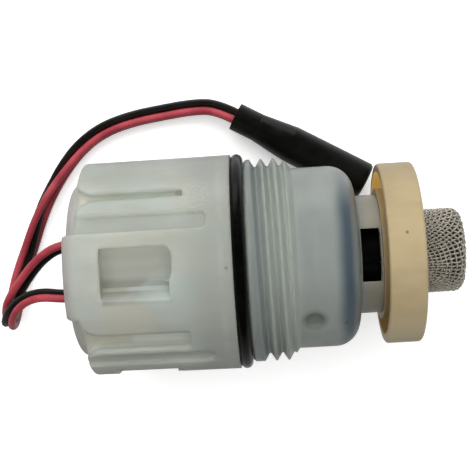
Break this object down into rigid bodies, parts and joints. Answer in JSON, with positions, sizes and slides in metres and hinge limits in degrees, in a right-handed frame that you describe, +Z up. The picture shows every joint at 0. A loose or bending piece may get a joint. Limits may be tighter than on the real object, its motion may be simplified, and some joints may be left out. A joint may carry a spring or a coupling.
{
  "type": "solenoid valve cartridge",
  "caption": "Screw-in latching solenoid valve cartridge: ribbed coil cap, seal, threaded body, slotted neck, end ring, wire strainer, and leads to an in-line connector.",
  "frame": {"origin": "on the surface that the valve lies on, under the middle of its length from cap to strainer", "axes": "+X along the valve axis from the cap to the strainer, +Z up, leads on the +Y side"},
  "size_m": [0.0788, 0.0464, 0.035],
  "materials": {
    "cap_plastic": "milky translucent moulding, soft sheen",
    "lead_grommet": "soft grey potting",
    "body_plastic": "milky blue-grey translucent moulding, soft sheen",
    "seal_rubber": "black, satin",
    "ring_plastic": "cream, satin",
    "black_plastic": "black, satin",
    "strainer_steel": "knitted stainless wire",
    "rim_steel": "plain pressed band",
    "zinc_plated_steel": "zinc plated",
    "bobbin_plastic": "natural nylon",
    "enamelled_copper": "enamelled winding wire",
    "contact_brass": "bright",
    "magnet": "dark sintered ferrite",
    "guide_steel": "turned stainless",
    "spring_steel": "drawn stainless wire",
    "pilot_plastic": "white acetal",
    "diaphragm_rubber": "dark blue, matt",
    "connector_rubber": "black overmoulding, satin",
    "red_insulation": "red wire insulation",
    "black_insulation": "black wire insulation"
  },
  "bodies": {
    "housing": {"cap": "cap_plastic", "first_lead_grommet": "lead_grommet", "second_lead_grommet": "lead_grommet", "valve_body": "body_plastic", "flange_seal": "seal_rubber", "end_ring": "ring_plastic", "inlet_tube": "black_plastic", "tube_seal": "seal_rubber", "strainer_mesh": "strainer_steel", "strainer_rim": "rim_steel", "magnet_yoke": "zinc_plated_steel", "coil_bobbin": "bobbin_plastic", "opening_winding": "enamelled_copper", "closing_winding": "enamelled_copper", "coil_terminals": "contact_brass", "latching_magnet": "magnet", "guide_tube": "guide_steel", "fixed_core": "guide_steel", "pole_plate": "zinc_plated_steel", "plunger_spring": "spring_steel", "pilot_plate": "pilot_plastic", "plate_seal": "seal_rubber", "diaphragm": "diaphragm_rubber", "bleed_pin": "spring_steel", "diaphragm_spring": "spring_steel", "connector_boot": "connector_rubber", "connector_shell": "connector_rubber", "connector_insert": "black_plastic", "connector_contacts": "contact_brass", "first_red_wire": "red_insulation", "first_black_wire": "black_insulation", "second_red_wire": "red_insulation", "second_black_wire": "black_insulation"},
    "plunger_body": {"plunger": "guide_steel", "pilot_seal": "seal_rubber"},
    "diaphragm_disc": {"diaphragm_insert": "pilot_plastic"}
  },
  "joints": [
    {"name": "plunger_slide", "type": "slide", "parent": "housing", "child": "plunger_body", "axis": [-1, 0, 0], "range_m": [0, 0.0008], "stiffness_N_per_m": 150, "springref_m": -0.003, "deforming": ["plunger_spring"]},
    {"name": "diaphragm_lift", "type": "slide", "parent": "housing", "child": "diaphragm_disc", "axis": [-1, 0, 0], "range_m": [0, 0.0018], "stiffness_N_per_m": 200, "springref_m": -0.006, "deforming": ["diaphragm_spring", "diaphragm"]}
  ]
}
